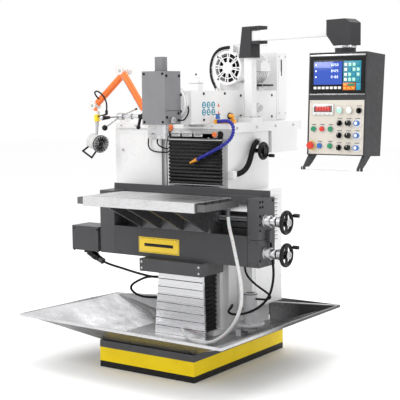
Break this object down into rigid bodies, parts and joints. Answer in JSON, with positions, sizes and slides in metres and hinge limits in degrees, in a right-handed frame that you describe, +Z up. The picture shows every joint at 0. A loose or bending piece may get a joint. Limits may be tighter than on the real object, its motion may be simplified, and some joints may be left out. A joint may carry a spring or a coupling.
{
  "type": "universal milling machine",
  "caption": "Knee-type universal tool milling machine with T-slot angle table, vertical head on a sliding ram, chip tray, work lamp and swinging control pendant.",
  "frame": {"origin": "on the base underside, in the column's centre plane and close to the middle of the base", "axes": "+X to the operator's right, +Y to the rear, +Z up"},
  "size_m": [1.979, 1.7422, 2.072],
  "materials": {
    "painted_base": "semi-gloss grey paint with a yellow band",
    "tray_steel": "folded sheet, light grey",
    "white_casting": "semi-gloss white paint",
    "white_sheet": "semi-gloss white paint",
    "black_rubber": "matt black",
    "bright_steel": "brushed",
    "pump_metal": "satin",
    "fitting_metal": "satin",
    "ground_steel": "ground",
    "black_plastic": "gloss black",
    "grey_casting": "semi-gloss dark grey paint",
    "grey_sheet": "semi-gloss dark grey paint",
    "table_iron": "ground on top",
    "head_paint": "satin grey paint",
    "orange_paint": "gloss orange paint",
    "lamp_paint": "white with a black face ring",
    "dark_sheet": "textured dark grey paint",
    "readout_plastic": "satin",
    "panel_sheet": "satin beige paint",
    "blue_plastic": "gloss",
    "green_plastic": "gloss",
    "red_plastic": "gloss",
    "blue_hose": "satin",
    "clear_hose": "satin"
  },
  "bodies": {
    "frame": {"base": "painted_base", "chip_tray": "tray_steel", "column": "white_casting", "ram_bed": "white_casting", "electric_cabinet": "white_sheet", "power_cabinet": "white_sheet", "upper_bellows": "black_rubber", "lower_way_cover": "bright_steel", "lower_bellows": "black_rubber", "coolant_pump": "pump_metal", "pendant_post": "white_sheet", "coolant_fittings": "fitting_metal", "coolant_hose": "blue_hose", "drain_hose": "clear_hose", "side_conduit": "black_rubber", "servo_cable": "black_rubber", "feed_cable": "black_rubber"},
    "lifting_screw": {"lifting_screw": "ground_steel"},
    "ram_wheel": {"ram_handwheel": "black_plastic"},
    "knee_body": {"knee": "grey_casting", "front_cover": "grey_sheet", "feed_gearbox": "grey_casting", "feed_drive_cover": "grey_sheet"},
    "feed_screw": {"table_screw": "ground_steel", "table_handwheel": "black_plastic"},
    "knee_wheel": {"knee_handwheel": "black_plastic"},
    "table": {"table_slide": "grey_casting", "angle_table": "table_iron"},
    "ram_body": {"ram": "white_casting", "belt_cover": "white_sheet", "spindle_motor": "white_casting", "vertical_head": "head_paint"},
    "fan": {"motor_fan": "black_plastic"},
    "quill_body": {"quill": "ground_steel"},
    "spindle_body": {"spindle": "ground_steel"},
    "lever": {"quill_lever": "ground_steel"},
    "clamp": {"quill_clamp": "black_plastic"},
    "lamp_lower": {"lamp_lower_arm": "orange_paint"},
    "lamp_upper": {"lamp_upper_arm": "orange_paint"},
    "lamp": {"lamp_head": "lamp_paint"},
    "arm": {"pendant_arm": "white_sheet"},
    "pendant": {"pendant_case": "dark_sheet", "readout_unit": "readout_plastic", "control_panel": "panel_sheet"},
    "green_button_left_body": {"green_button_left": "green_plastic"},
    "red_button_body": {"red_button": "red_plastic"},
    "green_button_right_body": {"green_button_right": "green_plastic"},
    "green_button_lower_body": {"green_button_lower": "green_plastic"},
    "blue_switch_body": {"blue_switch": "blue_plastic"},
    "emergency_stop_body": {"emergency_stop": "red_plastic"},
    "selector_top_body": {"selector_top": "black_plastic"},
    "selector_first_body": {"selector_first": "black_plastic"},
    "selector_second_body": {"selector_second": "black_plastic"},
    "selector_third_body": {"selector_third": "black_plastic"},
    "dial_first_body": {"dial_first": "black_plastic"},
    "dial_second_body": {"dial_second": "black_plastic"},
    "dial_third_body": {"dial_third": "black_plastic"},
    "blue_knob_first_body": {"blue_knob_first": "blue_plastic"},
    "blue_knob_second_body": {"blue_knob_second": "blue_plastic"},
    "blue_knob_third_body": {"blue_knob_third": "blue_plastic"}
  },
  "joints": [
    {"name": "knee_lift", "type": "slide", "parent": "frame", "child": "knee_body", "axis": [0, 0, 1], "range_m": [-0.15, 0.1], "deforming": ["upper_bellows", "lower_way_cover", "lower_bellows", "servo_cable", "feed_cable", "drain_hose"]},
    {"name": "lifting_screw_turn", "type": "hinge", "parent": "frame", "child": "lifting_screw", "pos_m": [0, -0.02, 0.4], "axis": [0, 0, 1], "continuous": true},
    {"name": "knee_wheel_turn", "type": "hinge", "parent": "knee_body", "child": "knee_wheel", "pos_m": [0.742, -0.127, 0.73], "axis": [1, 0, 0], "continuous": true},
    {"name": "table_feed", "type": "slide", "parent": "knee_body", "child": "table", "axis": [1, 0, 0], "range_m": [-0.19, 0.19]},
    {"name": "feed_screw_turn", "type": "hinge", "parent": "knee_body", "child": "feed_screw", "pos_m": [0.742, -0.127, 0.918], "axis": [1, 0, 0], "continuous": true},
    {"name": "ram_feed", "type": "slide", "parent": "frame", "child": "ram_body", "axis": [0, 1, 0], "range_m": [-0.1, 0.15]},
    {"name": "ram_wheel_turn", "type": "hinge", "parent": "frame", "child": "ram_wheel", "pos_m": [0.3, 0.345, 1.294], "axis": [1, 0, 0], "continuous": true},
    {"name": "fan_spin", "type": "hinge", "parent": "ram_body", "child": "fan", "pos_m": [0, 0.396, 1.819], "axis": [0, 1, 0], "continuous": true},
    {"name": "quill_feed", "type": "slide", "parent": "ram_body", "child": "quill_body", "axis": [0, 0, 1], "range_m": [-0.052, 0]},
    {"name": "spindle_spin", "type": "hinge", "parent": "quill_body", "child": "spindle_body", "pos_m": [0, -0.312, 1.42], "axis": [0, 0, 1], "continuous": true},
    {"name": "quill_lever_turn", "type": "hinge", "parent": "ram_body", "child": "lever", "pos_m": [-0.2, -0.272, 1.521], "axis": [1, 0, 0], "range_deg": [-180, 10]},
    {"name": "quill_clamp_turn", "type": "hinge", "parent": "ram_body", "child": "clamp", "pos_m": [-0.11, -0.348, 1.524], "axis": [1, 0, 0], "range_deg": [-60, 0]},
    {"name": "lamp_base_turn", "type": "hinge", "parent": "frame", "child": "lamp_lower", "pos_m": [-0.3, -0.065, 1.52], "axis": [0, 0, 1], "range_deg": [-5, 12]},
    {"name": "lamp_elbow", "type": "hinge", "parent": "lamp_lower", "child": "lamp_upper", "pos_m": [-0.49, -0.065, 1.806], "axis": [0, 1, 0], "range_deg": [-20, 25]},
    {"name": "lamp_head_turn", "type": "hinge", "parent": "lamp_upper", "child": "lamp", "pos_m": [-0.726, -0.053, 1.482], "axis": [0, 0, 1], "range_deg": [-70, 70]},
    {"name": "pendant_swing", "type": "hinge", "parent": "frame", "child": "arm", "pos_m": [0.178, 0.39, 1.878], "axis": [0, 0, 1], "range_deg": [-45, 60]},
    {"name": "pendant_swivel", "type": "hinge", "parent": "arm", "child": "pendant", "pos_m": [0.95364, 0.18217, 1.881], "axis": [0, 0, 1], "range_deg": [-60, 60]},
    {"name": "green_button_left_press", "type": "slide", "parent": "pendant", "child": "green_button_left_body", "axis": [0, 0.9986, -0.0523], "range_m": [0, 0.0018], "stiffness_N_per_m": 600, "springref_m": -0.002},
    {"name": "red_button_press", "type": "slide", "parent": "pendant", "child": "red_button_body", "axis": [0, 0.9986, -0.0523], "range_m": [0, 0.0018], "stiffness_N_per_m": 600, "springref_m": -0.002},
    {"name": "green_button_right_press", "type": "slide", "parent": "pendant", "child": "green_button_right_body", "axis": [0, 0.9986, -0.0523], "range_m": [0, 0.0018], "stiffness_N_per_m": 600, "springref_m": -0.002},
    {"name": "green_button_lower_press", "type": "slide", "parent": "pendant", "child": "green_button_lower_body", "axis": [0, 0.9986, -0.0523], "range_m": [0, 0.0018], "stiffness_N_per_m": 600, "springref_m": -0.002},
    {"name": "blue_switch_press", "type": "slide", "parent": "pendant", "child": "blue_switch_body", "axis": [0, 0.9986, -0.0523], "range_m": [0, 0.0018], "stiffness_N_per_m": 600, "springref_m": -0.002},
    {"name": "emergency_stop_press", "type": "slide", "parent": "pendant", "child": "emergency_stop_body", "axis": [0, 0.9986, -0.0523], "range_m": [0, 0.0018], "stiffness_N_per_m": 600, "springref_m": -0.002},
    {"name": "selector_top_turn", "type": "hinge", "parent": "pendant", "child": "selector_top_body", "pos_m": [1.09784, 0.07273, 1.55145], "axis": [0, -0.9986, 0.0523], "range_deg": [-45, 45]},
    {"name": "selector_first_turn", "type": "hinge", "parent": "pendant", "child": "selector_first_body", "pos_m": [0.97779, 0.06901, 1.48055], "axis": [0, -0.9986, 0.0523], "range_deg": [-45, 45]},
    {"name": "selector_second_turn", "type": "hinge", "parent": "pendant", "child": "selector_second_body", "pos_m": [0.97779, 0.0654, 1.41164], "axis": [0, -0.9986, 0.0523], "range_deg": [-45, 45]},
    {"name": "selector_third_turn", "type": "hinge", "parent": "pendant", "child": "selector_third_body", "pos_m": [0.97779, 0.06179, 1.34274], "axis": [0, -0.9986, 0.0523], "range_deg": [-45, 45]},
    {"name": "dial_first_turn", "type": "hinge", "parent": "pendant", "child": "dial_first_body", "pos_m": [1.03452, 0.06901, 1.48055], "axis": [0, -0.9986, 0.0523], "range_deg": [-150, 150]},
    {"name": "dial_second_turn", "type": "hinge", "parent": "pendant", "child": "dial_second_body", "pos_m": [1.03452, 0.0654, 1.41164], "axis": [0, -0.9986, 0.0523], "range_deg": [-150, 150]},
    {"name": "dial_third_turn", "type": "hinge", "parent": "pendant", "child": "dial_third_body", "pos_m": [1.03452, 0.06179, 1.34274], "axis": [0, -0.9986, 0.0523], "range_deg": [-150, 150]},
    {"name": "blue_knob_first_turn", "type": "hinge", "parent": "pendant", "child": "blue_knob_first_body", "pos_m": [1.08869, 0.06901, 1.48055], "axis": [0, -0.9986, 0.0523], "range_deg": [-150, 150]},
    {"name": "blue_knob_second_turn", "type": "hinge", "parent": "pendant", "child": "blue_knob_second_body", "pos_m": [1.08869, 0.0654, 1.41164], "axis": [0, -0.9986, 0.0523], "range_deg": [-150, 150]},
    {"name": "blue_knob_third_turn", "type": "hinge", "parent": "pendant", "child": "blue_knob_third_body", "pos_m": [1.08869, 0.06179, 1.34274], "axis": [0, -0.9986, 0.0523], "range_deg": [-150, 150]}
  ],
  "couplings": [
    {"joint": "lifting_screw_turn", "follows": "knee_lift", "rad_per_m": 1256.6},
    {"joint": "knee_wheel_turn", "follows": "knee_lift", "rad_per_m": 1256.6},
    {"joint": "feed_screw_turn", "follows": "table_feed", "rad_per_m": 1256.6},
    {"joint": "ram_wheel_turn", "follows": "ram_feed", "rad_per_m": 1256.6},
    {"joint": "fan_spin", "follows": "spindle_spin", "ratio": 1},
    {"joint": "quill_lever_turn", "follows": "quill_feed", "rad_per_m": 50}
  ]
}
